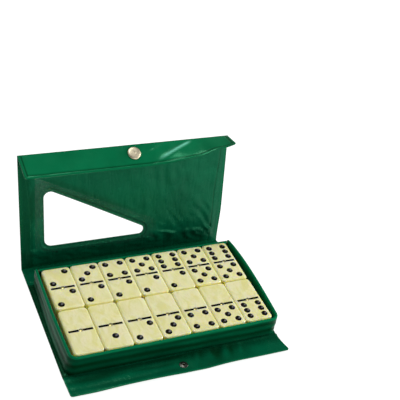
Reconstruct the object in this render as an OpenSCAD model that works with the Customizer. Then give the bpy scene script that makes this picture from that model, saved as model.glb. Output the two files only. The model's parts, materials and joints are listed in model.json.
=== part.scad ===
// Domino storage box: a wallet-style vinyl case, open, with its set of 28 tiles.
// X runs to the right, Y to the back and Z up. The origin is on the table, under the
// middle of the base panel. Sizes are in millimetres.

/* [Tiles] */
// Length of one tile
tile_l = 50; // [44:0.5:60]
// Width of one tile
tile_w = 25; // [22:0.5:30]
// Thickness of one tile
tile_h = 9.2; // [6:0.1:12]
// Radius of a tile's four upright corners
tile_corner_r = 3; // [1.5:0.5:5]
// Rounding of a tile's long and short edges
tile_edge_r = 0.9; // [0.3:0.1:1.4]
// Gap between tiles that lie side by side
tile_gap_x = 0.3; // [0.2:0.1:1]
// Gap between the back row and the front row
tile_gap_y = 0.8; // [0.2:0.1:2]

/* [Pips] */
// Diameter of a pip
pip_d = 4.9; // [3:0.1:5.4]
// Depth of a pip
pip_depth = 0.7; // [0.3:0.1:1.2]
// Distance of the outer pips from the tile's long middle line
pip_x = 6.8; // [5.6:0.1:7.2]
// Distance of the outer pips from the middle of their half
pip_y = 6.7; // [5.6:0.1:7.2]
// Length of the dividing groove
bar_l = 20; // [12:0.5:21]
// Width of the dividing groove
bar_w = 1.2; // [0.8:0.1:2]
// Depth of the dividing groove
bar_depth = 0.5; // [0.3:0.1:0.8]
// Diameter of the metal pin's head
pin_d = 3; // [2.2:0.1:4]
// Diameter of the metal pin's shank
pin_shank_d = 1.5; // [1:0.1:2]
// Length of the metal pin below the tile's face
pin_l = 4.5; // [3:0.5:5]
// Clearance of the pin in the tile
pin_clear = 0.05; // [0.02:0.01:0.1]

/* [Tray] */
// Thickness of the wrapped tray wall
tray_wall = 2.4; // [2:0.1:4]
// Outer radius of the tray's two front corners
tray_corner_r = 7; // [5:0.5:12]
// Room between the tiles and the tray, at the front and at the back
tray_room_y = 0.2; // [0.2:0.1:2]
// Room between the tiles and the left wall
tray_room_left = 1.8; // [0.5:0.1:4]
// Room between the tiles and the right wall
tray_room_right = 3.4; // [0.5:0.1:5]
// Thickness of the card that lines the tray's floor
tray_floor_t = 0.7; // [0.4:0.1:2]
// Distance that the tiles stand above the tray's rim
tile_stand = 0.5; // [0.2:0.1:3]
// Gap where the back strip meets the side strips
tray_notch = 0.4; // [0.2:0.1:1]

/* [Case] */
// Thickness of one vinyl sheet
vinyl_t = 0.4; // [0.3:0.05:0.6]
// Thickness of the stiffening boards
board_t = 1.2; // [0.8:0.1:2]
// Width of the flat weld along the sides of the panels
weld_w = 2; // [1:0.1:3]
// Base showing to the left of the tray
base_margin_left = 5.1; // [3.2:0.1:8]
// Base showing to the right of the tray
base_margin_right = 2.1; // [2:0.1:8]
// Radius of the flaps' free corners
flap_corner_r = 2; // [1:0.5:6]
// Clearance between the two sides of a fold
fold_clear = 0.15; // [0.1:0.05:0.3]
// Room between the tray and a panel that stands beside it
tray_gap = 0.3; // [0.3:0.05:0.6]
// Room between the front flap and the lid flap over it
flap_gap = 0.3; // [0.25:0.05:1]
// Room between the tiles and the closed lid's film
lid_gap = 0.3; // [0.2:0.1:1]
// Room between the closed lid flap and the table
table_gap = 0.7; // [0.3:0.1:2]

/* [Window] */
// Distance of the window's upright side from the case's left side
window_left = 21.2; // [14:0.1:40]
// Distance of the window's level side from the lid's back fold
window_back = 19.8; // [14:0.1:30]
// Length of the window's level side, measured to its sharp corner
window_l = 106.6; // [60:1:120]
// Height of the window's upright side, measured to its sharp corner
window_h = 57.2; // [30:1:66]
// Corner radius where the two straight sides meet
window_r_square = 7; // [3:0.5:9]
// Corner radius at the top
window_r_top = 6.3; // [3:0.1:8]
// Corner radius at the narrow end
window_r_tip = 4.5; // [2:0.1:5]
// Width of the weld round the window
window_weld = 1.5; // [1:0.1:3]
// Thickness of the clear film
film_t = 0.2; // [0.1:0.05:0.4]
// Distance that the film reaches past the window's edge
film_overlap = 7; // [4:0.5:9]

/* [Snap] */
// Diameter of the domed cap
cap_d = 12; // [10:0.1:15]
// Height of the domed cap
cap_h = 2.2; // [1.8:0.1:3]
// Thickness of the snap's sheet metal
snap_t = 0.3; // [0.2:0.05:0.4]
// Outer diameter of the cap's hollow post
cap_post_d = 6.4; // [6:0.1:7]
// Diameter of the socket's flange
socket_d = 10; // [8:0.1:11]
// Diameter of the stud's flange
stud_flange_d = 8; // [6:0.1:10]
// Diameter of the stud's head
stud_head_d = 4.4; // [3.6:0.1:4.6]
// Diameter of the stud's neck
stud_neck_d = 3.4; // [3:0.1:3.6]
// Distance that the stud stands out of the flap
stud_h = 1.3; // [1.1:0.1:1.6]
// Diameter of the eyelet's flange
eyelet_d = 7.4; // [6:0.1:9]
// Wire thickness of the socket's spring ring
spring_wire = 0.36; // [0.3:0.02:0.4]
// Depth of the dimple in the middle of the cap
dimple_depth = 0.5; // [0.2:0.1:0.8]
// Diameter of the dimple in the middle of the cap
dimple_d = 2.8; // [1.5:0.1:4]
// Distance of the cap from the fold between lid and lid flap
snap_drop = 9.4; // [8:0.1:12]

/* [Rest position] */
// Angle that the open lid leans back from upright
lid_lean = 12.5; // [5:0.5:30]
// Angle that the lid flap is folded in from the lid's plane
flap_fold = 132; // [95:1:135]
// Largest angle that the lid flap folds in
flap_fold_max = 140; // [136:1:150]
// Angle that is left of the lid flap's fold at its right end, where the flap has unrolled
flap_fold_end = 89; // [80:1:135]
// Place along the fold, to the right of the middle, where the lid flap starts to unroll
flap_unroll_x = 9; // [8:1:60]

/* [Hidden] */
$fn = 48;
past = 1;                     // a cut runs this far past the face it opens
columns = 7;
rows = 2;
layers = 2;

// Tiles as [layer, row, column, back half, front half]. Layer 1 is the visible one and row 1
// the back one. The upper layer shows these two rows, and the lower layer holds the rest.
upper_back = [[2, 2], [3, 2], [4, 2], [5, 2], [6, 2], [5, 5], [6, 5]];
upper_front = [for (n = [0 : 6]) [0, n]];
lower_back = [for (n = [1 : 6]) [1, n], [3, 3]];
lower_front = [[4, 3], [5, 3], [6, 3], [4, 4], [5, 4], [6, 4], [6, 6]];
faces = [[lower_front, lower_back], [upper_front, upper_back]];
TILES = [for (l = [0 : layers - 1], r = [0 : rows - 1], c = [0 : columns - 1])
    [l, r, c, faces[l][r][c][0], faces[l][r][c][1]]];
function tile_name(t) = str("tile_", t[3], "_", t[4]);

CASE = ["base_skin", "base_board", "base_lining", "tray_floor", "tray_wall_core",
    "tray_wall_cover", "tray_back_core", "tray_back_cover",
    "front_flap_skin", "front_flap_lining", "snap_stud", "snap_eyelet",
    "spine_skin", "spine_board", "spine_lining",
    "lid_skin", "lid_board", "lid_lining", "window_film",
    "lid_flap_skin", "lid_flap_lining", "snap_cap", "snap_socket", "snap_spring"];

// Colours
vinyl_colour = "#11633d";
lining_colour = "#0c4a2e";
card_colour = "#b9a98a";
metal_colour = "#c9ccc6";
tile_colour = "#dbd6a8";
film_colour = [0.85, 0.9, 0.9, 0.35];

// Thicknesses and heights
panel_t = board_t + 2 * vinyl_t;
fold_z = panel_t / 2;                                 // folds run in the panels' middle plane
floor_z = panel_t + tray_floor_t;
tile_top = floor_z + layers * tile_h;
rim_z = tile_top - tile_stand;
lid_fold_z = tile_top + lid_gap + film_t + panel_t / 2;   // with the lid closed

// Tray, from the tiles outwards
pitch_x = tile_w + tile_gap_x;
pitch_y = tile_l + tile_gap_y;
tray_w = columns * tile_w + (columns - 1) * tile_gap_x
    + tray_room_left + tray_room_right + 2 * tray_wall;
tray_d = rows * tile_l + tile_gap_y + 2 * tray_room_y + 2 * tray_wall;
case_w = tray_w + base_margin_left + base_margin_right;
tray_x0 = -case_w / 2 + base_margin_left;
tray_x1 = tray_x0 + tray_w;
tray_y0 = -tray_d / 2;
tray_y1 = tray_d / 2;
tray_h = rim_z - panel_t;
first_tile_x = tray_x0 + tray_wall + tray_room_left + tile_w / 2;

// Fold lines: front flap, spine and lid, from front to back, then the lid's own length
front_fold_y = tray_y0 - tray_gap - vinyl_t;
spine_fold_y = tray_y1 + tray_gap + panel_t / 2;
spine_l = lid_fold_z - fold_z;
lid_fold_y = spine_fold_y + spine_l;
lid_l = spine_fold_y - front_fold_y + 2 * vinyl_t + flap_gap;
front_flap_l = spine_l - panel_t / 2 - lid_gap;
lid_flap_l = lid_fold_z - table_gap;

// Margins between a fold line and the raised field that holds the board
thick_margin = panel_t / 2 + fold_clear;
thin_margin = vinyl_t + fold_clear;
flap_margin = (thin_margin - panel_t / 2 * cos(flap_fold_max)) / sin(flap_fold_max);
// Where a folding sheet starts, so that it clears the sheet on the other side of the fold:
// reach is the sheet's far face from the middle plane on the side that folds in
function sheet_start(fold, reach) =
    max(thin_margin, (thin_margin - reach * cos(fold)) / sin(fold));

// Snap: the cap on the lid flap and the stud on the front flap meet when the case is closed
snap_x = (tray_x0 + tray_x1) / 2;
stud_v = spine_l - snap_drop;
cap_post_r = cap_post_d / 2;
stud_reach = vinyl_t + stud_h;
stud_near = stud_v - stud_head_d / 2;
// The front flap lies on its stud, which tips it up a little
front_tilt = atan(stud_reach / stud_near)
    - asin(fold_z / norm([stud_reach, stud_near]));
seat = snap_t;                 // the metal flanges press this deep into the vinyl

// ---- Placing: each panel is drawn lying flat, its fold line on X, its outer side down ----

module on_front_flap() {
    translate([0, front_fold_y, fold_z]) mirror([0, 1, 0]) rotate([front_tilt, 0, 0]) children();
}

module on_spine() {
    translate([0, spine_fold_y, fold_z]) children();
}

module on_lid() {
    translate([0, lid_fold_y, fold_z]) rotate([90 - lid_lean, 0, 0]) children();
}

module on_lid_flap() {
    on_lid() translate([0, lid_l, 0]) rotate([flap_fold, 0, 0]) children();
}

// Turns what is drawn for the outer side over to the inner side
module inside_out() {
    mirror([0, 0, 1]) children();
}

// ---- Flat shapes ----

module strip(from, to, inset = 0) {
    translate([-case_w / 2 + inset, from]) square([case_w - 2 * inset, to - from]);
}

// Raised field of a panel: margins are counted from the fold lines, inset from the field's edge
module field(from, to, inset = 0) {
    strip(from + inset, to - inset, weld_w + inset);
}

module flap_outline(from, to) {
    strip(from, to - flap_corner_r);
    strip(from, to, flap_corner_r);
    for (side = [-1, 1])
        translate([side * (case_w / 2 - flap_corner_r), to - flap_corner_r])
            circle(flap_corner_r);
}

// Window: a right triangle with three round corners, grown outwards by grow. Each corner is an
// arc about its own centre, which turns from one side's normal to the next one's.
window_x = -case_w / 2 + window_left;
window_slope = atan(window_h / window_l);
window_corners = [
    [window_x + window_l - window_r_tip / tan(window_slope / 2), window_back + window_r_tip],
    [window_x + window_r_top, window_back + window_h - window_r_top * tan(45 + window_slope / 2)],
    [window_x + window_r_square, window_back + window_r_square]];
window_radii = [window_r_tip, window_r_top, window_r_square];
window_turns = [-90, 90 - window_slope, 180, 270];
window_steps = 10;

module window(grow = 0) {
    polygon([for (k = [0 : 2], s = [0 : window_steps])
        let (a = window_turns[k] + (window_turns[k + 1] - window_turns[k]) * s / window_steps)
        window_corners[k] + (window_radii[k] + grow) * [cos(a), sin(a)]]);
}

// ---- Panels ----

// One vinyl sheet of a panel, drawn for the outer side: a flat flange on the middle plane, which
// is welded to the other sheet, and a raised field that holds half of the board. from and to are
// the field's ends, start and end the flange's. The sheet's round edge at "end" lies on the fold.
module panel_sheet(start, from, to, end, windowed = false) {
    difference() {
        union() {
            translate([0, 0, -vinyl_t]) linear_extrude(vinyl_t) strip(start, end);
            translate([0, 0, -panel_t / 2]) linear_extrude(panel_t / 2) difference() {
                field(from, to);
                if (windowed) window(window_weld);
            }
        }
        translate([0, 0, -board_t / 2]) linear_extrude(board_t / 2 + past)
            board_outline(from, to, windowed);
        if (windowed) translate([0, 0, -panel_t]) linear_extrude(2 * panel_t) window();
    }
    fold_bead(end);
}

module board_outline(from, to, windowed = false) {
    difference() {
        field(from, to, vinyl_t);
        if (windowed) window(window_weld + vinyl_t);
    }
}

module board(from, to, windowed = false) {
    translate([0, 0, -board_t / 2]) linear_extrude(board_t) board_outline(from, to, windowed);
}

// Half-round edge of a sheet on the fold line at v
module fold_bead(v) {
    translate([-case_w / 2, v, 0]) rotate([0, 90, 0]) intersection() {
        cylinder(r = vinyl_t, h = case_w);
        translate([0, -vinyl_t, 0]) cube([vinyl_t, 2 * vinyl_t, case_w]);
    }
}

// ---- Base ----

base_from = front_fold_y + thin_margin;
base_to = spine_fold_y - thick_margin;

module base_sheet() {
    translate([0, 0, fold_z]) {
        panel_sheet(front_fold_y, base_from, base_to, spine_fold_y);
        fold_bead(front_fold_y);
    }
}

module base_skin() {
    color(vinyl_colour) base_sheet();
}

module base_board() {
    color(card_colour) translate([0, 0, fold_z]) board(base_from, base_to);
}

module base_lining() {
    color(lining_colour) translate([0, 0, panel_t]) inside_out() base_sheet();
}

// ---- Tray ----

module tray_outline(inset) {
    r = tray_corner_r;
    translate([tray_x0 + inset, tray_y0 + r]) square([tray_w - 2 * inset, tray_d - r - inset]);
    translate([tray_x0 + r, tray_y0 + inset]) square([tray_w - 2 * r, r]);
    for (x = [tray_x0 + r, tray_x1 - r]) translate([x, tray_y0 + r]) circle(r - inset);
}

// Upright section of a wall with a round top, inset all round except at the bottom
module wall_section(inset) {
    r = tray_wall / 2 - inset;
    translate([inset, 0]) square([2 * r, tray_h - tray_wall / 2]);
    translate([tray_wall / 2, tray_h - tray_wall / 2]) circle(r);
}

module cover_section() {
    difference() {
        wall_section(0);
        wall_section(vinyl_t);
        translate([vinyl_t, -past]) square([tray_wall - 2 * vinyl_t, tray_h]);
    }
}

// Runs a wall section along the left side, the round front corners and the right side
module along_sides_and_front() {
    r = tray_corner_r;
    translate([tray_x0 + r, tray_y0, panel_t]) rotate([90, 0, 90])
        linear_extrude(tray_w - 2 * r) children();
    for (side = [0, 1]) translate([side * (tray_x0 + tray_x1), 0, 0]) mirror([side, 0, 0]) {
        translate([tray_x0, tray_y1, panel_t]) rotate([90, 0, 0])
            linear_extrude(tray_d - r) children();
        translate([tray_x0 + r, tray_y0 + r, panel_t]) rotate([0, 0, 180])
            rotate_extrude(angle = 90) translate([r, 0]) mirror([1, 0]) children();
    }
}

module along_back() {
    translate([tray_x1 - tray_wall - tray_notch, tray_y1, panel_t]) rotate([90, 0, -90])
        linear_extrude(tray_w - 2 * (tray_wall + tray_notch)) children();
}

module tray_floor() {
    color(card_colour) translate([0, 0, panel_t]) linear_extrude(tray_floor_t)
        tray_outline(tray_wall);
}

module tray_wall_core() {
    color(card_colour) along_sides_and_front() wall_section(vinyl_t);
}

module tray_wall_cover() {
    color(vinyl_colour) along_sides_and_front() cover_section();
}

module tray_back_core() {
    color(card_colour) along_back() wall_section(vinyl_t);
}

module tray_back_cover() {
    color(vinyl_colour) along_back() cover_section();
}

// ---- Flaps ----

// A flat round hole through a flap's sheet, with a shallow seat for a metal flange
module snap_hole(v, hole_d, flange_d) {
    translate([snap_x, v, -vinyl_t - past]) {
        cylinder(d = hole_d, h = vinyl_t + 2 * past);
        cylinder(d = flange_d, h = past + seat);
    }
}

// The outer sheet of a flap, under its middle plane
module flap_sheet(start, end, hole_v, hole_d, flange_d) {
    difference() {
        translate([0, 0, -vinyl_t]) linear_extrude(vinyl_t) flap_outline(start, end);
        snap_hole(hole_v, hole_d, flange_d);
    }
}

// The lid flap unrolls towards its right end: past flap_unroll_x its cross-section turns back,
// step by step, and its free edge runs round the corner. One step is about 12 mm long.
unroll_to = case_w / 2 - flap_corner_r;
unroll_steps = round((unroll_to - flap_unroll_x) / 12);
corner_steps = 4;
unroll_xs = concat(
    [for (k = [0 : unroll_steps]) flap_unroll_x + (unroll_to - flap_unroll_x) * k / unroll_steps],
    [for (k = [1 : corner_steps]) unroll_to + flap_corner_r * sin(90 * k / corner_steps)]);
function unroll_angle(x) =
    (flap_fold_end - flap_fold) * (x - flap_unroll_x) / (case_w / 2 - flap_unroll_x);
function free_edge(x) =
    lid_flap_l - flap_corner_r
    + sqrt(max(0, flap_corner_r * flap_corner_r - pow(max(0, x - unroll_to), 2)));
// The four corners of the cross-section at x, between the heights low and high
function unroll_section(x, low, high) =
    let (a = unroll_angle(x), from = sheet_start(flap_fold_max, vinyl_t), to = free_edge(x))
    [for (p = [[from, low], [to, low], [to, high], [from, high]])
        [x, p[0] * cos(a) - p[1] * sin(a), p[0] * sin(a) + p[1] * cos(a)]];

// Each twisted side is split along one diagonal: a and b are its corners on one cross-section.
// The low and the high side take the same one, so the sheet keeps its thickness.
function unroll_side(a, b, crossed) = crossed
    ? [[a, b + 4, b], [a, a + 4, b + 4]]
    : [[a, a + 4, b], [b, a + 4, b + 4]];

module unrolled_end(low, high) {
    last = 4 * (len(unroll_xs) - 1);
    polyhedron(
        points = [for (x = unroll_xs) each unroll_section(x, low, high)],
        faces = concat(
            [[0, 1, 2, 3], [last, last + 3, last + 2, last + 1]],
            [for (k = [0 : 4 : last - 4], c = [0 : 3])
                each unroll_side(k + c, k + (c + 1) % 4, c > 1)]));
}

// One sheet of the lid flap: flat up to flap_unroll_x, then unrolled
module lid_flap_sheet(start, low, flange_d) {
    difference() {
        translate([0, 0, low]) linear_extrude(vinyl_t) intersection() {
            flap_outline(start, lid_flap_l);
            translate([-case_w / 2, 0]) square([case_w / 2 + flap_unroll_x, lid_flap_l]);
        }
        mirror([0, 0, low < 0 ? 0 : 1]) snap_hole(snap_drop, cap_post_d, flange_d);
    }
    unrolled_end(low, low + vinyl_t);
}

eyelet_hole_d = 2 * 1.3;

module front_flap_skin() {
    color(vinyl_colour) on_front_flap()
        flap_sheet(sheet_start(90, 0), front_flap_l, stud_v, eyelet_hole_d, stud_flange_d);
}

module front_flap_lining() {
    color(lining_colour) on_front_flap() inside_out()
        flap_sheet(sheet_start(90, vinyl_t), front_flap_l, stud_v, eyelet_hole_d, eyelet_d);
}

module lid_flap_skin() {
    color(vinyl_colour) on_lid_flap()
        lid_flap_sheet(sheet_start(flap_fold_max, 0), -vinyl_t, cap_post_d);
}

module lid_flap_lining() {
    color(lining_colour) on_lid_flap()
        lid_flap_sheet(sheet_start(flap_fold_max, vinyl_t), 0, socket_d);
}

// ---- Spine and lid ----

module spine_sheet() {
    panel_sheet(thin_margin, thick_margin, spine_l - thick_margin, spine_l);
}

module spine_skin() {
    color(vinyl_colour) on_spine() spine_sheet();
}

module spine_board() {
    color(card_colour) on_spine() board(thick_margin, spine_l - thick_margin);
}

module spine_lining() {
    color(lining_colour) on_spine() inside_out() spine_sheet();
}

module lid_sheet() {
    panel_sheet(thin_margin, thick_margin, lid_l - flap_margin, lid_l, windowed = true);
}

module lid_skin() {
    color(vinyl_colour) on_lid() lid_sheet();
}

module lid_board() {
    color(card_colour) on_lid() board(thick_margin, lid_l - flap_margin, windowed = true);
}

module lid_lining() {
    color(lining_colour) on_lid() inside_out() lid_sheet();
}

module window_film() {
    color(film_colour) on_lid() translate([0, 0, panel_t / 2]) linear_extrude(film_t)
        window(film_overlap);
}

// ---- Snap fastener ----

// Places what follows on a flap, with Z out of the flap's outer face and 0 on that face
module on_flap_face(v) {
    translate([snap_x, v, -vinyl_t]) mirror([0, 0, 1]) children();
}

// The stud: a flange pressed into the front flap, a neck, and a head that the socket grips
module snap_stud() {
    head_l = stud_h / 3;
    color(metal_colour) on_front_flap() on_flap_face(stud_v) difference() {
        union() {
            translate([0, 0, -seat]) cylinder(d = stud_flange_d, h = snap_t);
            cylinder(d = stud_neck_d, h = stud_h);
            translate([0, 0, stud_h - head_l]) cylinder(d = stud_head_d, h = head_l);
        }
        translate([0, 0, -seat - past]) cylinder(d = eyelet_hole_d, h = past + stud_h - snap_t);
    }
}

// The eyelet that holds the stud from inside: a flange and a tube through both sheets
module snap_eyelet() {
    tube_d = eyelet_hole_d - 2 * fold_clear;
    tube_h = 2 * vinyl_t + stud_h / 2;
    color(metal_colour) on_front_flap() inside_out() on_flap_face(stud_v) difference() {
        union() {
            translate([0, 0, -seat]) cylinder(d = eyelet_d, h = snap_t);
            translate([0, 0, -tube_h]) cylinder(d = tube_d, h = tube_h);
        }
        translate([0, 0, -tube_h - past])
            cylinder(d = tube_d - 2 * snap_t, h = tube_h + 2 * past);
    }
}

// The cap: a domed shell with a dimple in its middle and a hollow post through the flap
module snap_cap() {
    dome_r = (pow(cap_d / 2, 2) + pow(cap_h, 2)) / (2 * cap_h);
    dome_z = cap_h - dome_r;
    dimple_r = (pow(dimple_d / 2, 2) + pow(dimple_depth, 2)) / (2 * dimple_depth);
    post_l = 2 * vinyl_t;
    color(metal_colour) on_lid_flap() on_flap_face(snap_drop) difference() {
        union() {
            intersection() {
                translate([0, 0, dome_z]) sphere(dome_r);
                cylinder(d = cap_d, h = cap_h);
            }
            translate([0, 0, -post_l]) cylinder(r = cap_post_r, h = post_l + snap_t);
        }
        translate([0, 0, dome_z]) intersection() {
            sphere(dome_r - snap_t);
            difference() {
                translate([0, 0, -dome_z]) cylinder(d = cap_d - 2 * snap_t, h = cap_h);
                translate([0, 0, -dome_z]) cylinder(r = cap_post_r, h = cap_h);
                translate([0, 0, dome_r + dimple_r - dimple_depth]) sphere(dimple_r + snap_t);
            }
        }
        translate([0, 0, -post_l - past])
            cylinder(r = cap_post_r - snap_t, h = past + post_l + cap_h - 2 * dimple_depth - snap_t);
        translate([0, 0, cap_h + dimple_r - dimple_depth]) sphere(dimple_r);
    }
}

// The socket: a flat ring on the inner face, which grips the cap's post
module snap_socket() {
    color(metal_colour) on_lid_flap() inside_out() on_flap_face(snap_drop)
        translate([0, 0, -seat]) difference() {
            cylinder(d = socket_d, h = snap_t);
            translate([0, 0, -past]) cylinder(r = cap_post_r + pin_clear, h = snap_t + 2 * past);
        }
}

// The split spring ring inside the post, which the stud's head snaps through
module snap_spring() {
    open_angle = 40;
    ring_r = cap_post_r - snap_t - spring_wire / 2 - pin_clear;
    color(metal_colour) on_lid_flap() on_flap_face(snap_drop)
        translate([0, 0, -vinyl_t]) rotate([0, 0, open_angle / 2])
            rotate_extrude(angle = 360 - open_angle) translate([ring_r, 0])
                circle(d = spring_wire);
}

// ---- Tiles ----

// Pip places in half a tile, in steps of pip_x and pip_y
function pips(n) = n == 6
    ? [for (x = [-1, 1], y = [-1, 0, 1]) [x, y]]
    : [
        if (n % 2 == 1) [0, 0],
        if (n > 1) [-1, -1],
        if (n > 1) [1, 1],
        if (n > 3) [-1, 1],
        if (n > 3) [1, -1]];

module rounded_rect(a, b, r) {
    for (x = [-1, 1], y = [-1, 1]) translate([x * (a / 2 - r), y * (b / 2 - r)]) circle(r);
    square([a - 2 * r, b], center = true);
    square([a, b - 2 * r], center = true);
}

module tile_block() {
    intersection() {
        linear_extrude(tile_h) rounded_rect(tile_w, tile_l, tile_corner_r);
        translate([-tile_w, 0, tile_h / 2]) rotate([90, 0, 90])
            linear_extrude(2 * tile_w) rounded_rect(tile_l, tile_h, tile_edge_r);
        translate([0, tile_l, tile_h / 2]) rotate([90, 0, 0])
            linear_extrude(2 * tile_l) rounded_rect(tile_w, tile_h, tile_edge_r);
    }
}

module pip_cut() {
    r = (pow(pip_d / 2, 2) + pow(pip_depth, 2)) / (2 * pip_depth);
    translate([0, 0, tile_h + r - pip_depth]) sphere(r);
}

// A metal pin with a low domed head that lies in the tile's face
module tile_pin() {
    head_h = bar_depth - pin_clear;
    dome_r = (pow(pin_d / 2, 2) + pow(head_h, 2)) / (2 * head_h);
    translate([0, 0, tile_h]) {
        intersection() {
            translate([0, 0, -dome_r]) sphere(dome_r);
            translate([0, 0, -head_h]) cylinder(d = pin_d, h = head_h);
        }
        translate([0, 0, -pin_l]) cylinder(d = pin_shank_d, h = pin_l - head_h);
    }
}

module tile(back, front) {
    difference() {
        tile_block();
        for (half = [[1, back], [-1, front]], p = pips(half[1]))
            translate([p[0] * pip_x, half[0] * tile_l / 4 + p[1] * pip_y, 0]) pip_cut();
        translate([-bar_l / 2, -bar_w / 2, tile_h - bar_depth])
            cube([bar_l, bar_w, bar_depth + past]);
        translate([0, 0, tile_h - bar_depth])
            cylinder(d = pin_d + 2 * pin_clear, h = bar_depth + past);
        translate([0, 0, tile_h - pin_l - pin_clear])
            cylinder(d = pin_shank_d + 2 * pin_clear, h = pin_l + past);
    }
    tile_pin();
}

module placed_tile(t) {
    color(tile_colour)
        translate([first_tile_x + t[2] * pitch_x, (t[1] - 0.5) * pitch_y, floor_z + t[0] * tile_h])
            tile(t[3], t[4]);
}

base_skin();
base_board();
base_lining();
tray_floor();
tray_wall_core();
tray_wall_cover();
tray_back_core();
tray_back_cover();
front_flap_skin();
front_flap_lining();
snap_stud();
snap_eyelet();
spine_skin();
spine_board();
spine_lining();
lid_skin();
lid_board();
lid_lining();
window_film();
lid_flap_skin();
lid_flap_lining();
snap_cap();
snap_socket();
snap_spring();
for (t = TILES) placed_tile(t);
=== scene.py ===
# %% [markdown]
# # A domino case in welded vinyl
# The object is a wallet for 28 dominoes. Two sheets of PVC are welded round stiff boards, and the
# weld lines between the boards are its hinges: front flap, base, spine, lid and lid flap. A tray
# of wrapped card stands on the base. The frame holds every piece at its real size. This script
# gives each one the surface that a hand would feel: soft edges, creases, welds and polish.

# %% Load the frame
import json
import math

import bmesh
import bpy
from mathutils import Matrix, Quaternion, Vector, noise
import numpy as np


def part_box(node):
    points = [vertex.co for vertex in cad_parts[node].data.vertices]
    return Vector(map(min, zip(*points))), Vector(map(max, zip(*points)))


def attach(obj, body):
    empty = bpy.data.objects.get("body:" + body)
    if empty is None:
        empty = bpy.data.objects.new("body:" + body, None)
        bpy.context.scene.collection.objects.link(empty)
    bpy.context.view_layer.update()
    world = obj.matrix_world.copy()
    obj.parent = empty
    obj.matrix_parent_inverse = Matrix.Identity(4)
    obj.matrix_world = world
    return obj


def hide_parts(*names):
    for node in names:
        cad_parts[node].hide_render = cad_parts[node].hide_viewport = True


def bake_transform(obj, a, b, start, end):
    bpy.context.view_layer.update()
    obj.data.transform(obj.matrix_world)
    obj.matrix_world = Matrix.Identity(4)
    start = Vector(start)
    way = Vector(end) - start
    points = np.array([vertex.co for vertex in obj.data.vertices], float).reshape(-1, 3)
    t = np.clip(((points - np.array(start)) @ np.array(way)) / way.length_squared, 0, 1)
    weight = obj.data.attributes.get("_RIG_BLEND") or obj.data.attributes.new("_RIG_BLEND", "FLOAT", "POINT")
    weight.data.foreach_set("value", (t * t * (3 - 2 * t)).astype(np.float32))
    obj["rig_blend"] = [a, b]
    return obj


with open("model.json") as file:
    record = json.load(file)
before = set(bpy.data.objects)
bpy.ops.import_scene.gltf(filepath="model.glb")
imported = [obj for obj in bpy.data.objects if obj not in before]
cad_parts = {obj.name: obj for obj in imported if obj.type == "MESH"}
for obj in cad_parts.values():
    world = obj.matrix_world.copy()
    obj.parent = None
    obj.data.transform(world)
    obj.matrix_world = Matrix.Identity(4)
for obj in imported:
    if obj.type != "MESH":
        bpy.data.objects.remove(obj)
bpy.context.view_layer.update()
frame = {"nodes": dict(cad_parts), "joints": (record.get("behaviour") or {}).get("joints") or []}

MM = 0.001

# %% New objects
def add_object(name, data):
    """Puts a new object with this data into the scene."""
    made = bpy.data.objects.new(name, data)
    bpy.context.scene.collection.objects.link(made)
    return made


def look_along(item, way, roll=0.0):
    """Turns a camera or a light to look along way, and then rolls it."""
    item.rotation_mode = "QUATERNION"
    item.rotation_quaternion = way.to_track_quat("-Z", "Y") @ Quaternion((0, 0, 1), roll)


print("cameras, lights and pieces are added in one way")

# %% [markdown]
# ## The camera
# A product picture is taken from a little above, with the box turned to show its left side. The
# camera is set by two angles, a tilt and the point that it looks at, so that every number can be
# read as something a photographer would do. The picture is developed plainly, so that white paper
# stays white and deep greens stay deep.

# %% Camera
view_azimuth = math.radians(-30.47)
view_elevation = math.radians(36.28)
view_roll = math.radians(11.81)
view_distance = 695.1
view_target = Vector((23.6, 0.2, 119.1))
view_lens = 78.03

back = Vector((math.sin(view_azimuth) * math.cos(view_elevation),
               -math.cos(view_azimuth) * math.cos(view_elevation),
               math.sin(view_elevation)))
camera = add_object("camera", bpy.data.cameras.new("camera"))
camera.data.lens = view_lens
camera.data.clip_start = 0.01
camera.location = (view_target + back * view_distance) * MM
look_along(camera, -back, view_roll)
bpy.context.scene.camera = camera
bpy.context.scene.view_settings.view_transform = "Standard"
print("camera at", [round(c, 3) for c in camera.location])

# %% [markdown]
# ## Colours and nodes
# Colours are picked as sRGB hex values, and the shaders want them linear, so one function turns
# them. Another adds a shader node: it sets the node's own options, and gives each input a value
# or a link. The rest are short names for what the materials need again and again.

# %% Helpers for materials
def linear(code):
    """A hex colour such as "#0f8a5a" as linear red, green, blue and alpha."""
    parts = [int(code[k:k + 2], 16) / 255 for k in (1, 3, 5)]
    return [c / 12.92 if c <= 0.04045 else ((c + 0.055) / 1.055) ** 2.4 for c in parts] + [1.0]


def add_node(tree, kind, inputs=None, **options):
    """Adds a node, sets its options, and sets or links its inputs."""
    made = tree.nodes.new(kind)
    for name, value in options.items():
        setattr(made, name, value)
    for name, value in (inputs or {}).items():
        if isinstance(value, bpy.types.NodeSocket):
            tree.links.new(value, made.inputs[name])
        else:
            made.inputs[name].default_value = value
    return made


def new_material(name):
    """An empty node material: its tree, and the object coordinates that its patterns read."""
    material = bpy.data.materials.new(name)
    material.use_nodes = True
    tree = material.node_tree
    tree.nodes.clear()
    place = add_node(tree, "ShaderNodeTexCoord").outputs["Object"]
    return material, tree, place


def close_material(tree, **inputs):
    """Ends a tree with a Principled shader. Names with spaces are written with underscores."""
    named = {name.replace("_", " "): value for name, value in inputs.items()}
    shader = add_node(tree, "ShaderNodeBsdfPrincipled", named)
    add_node(tree, "ShaderNodeOutputMaterial", {"Surface": shader.outputs["BSDF"]})


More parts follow.
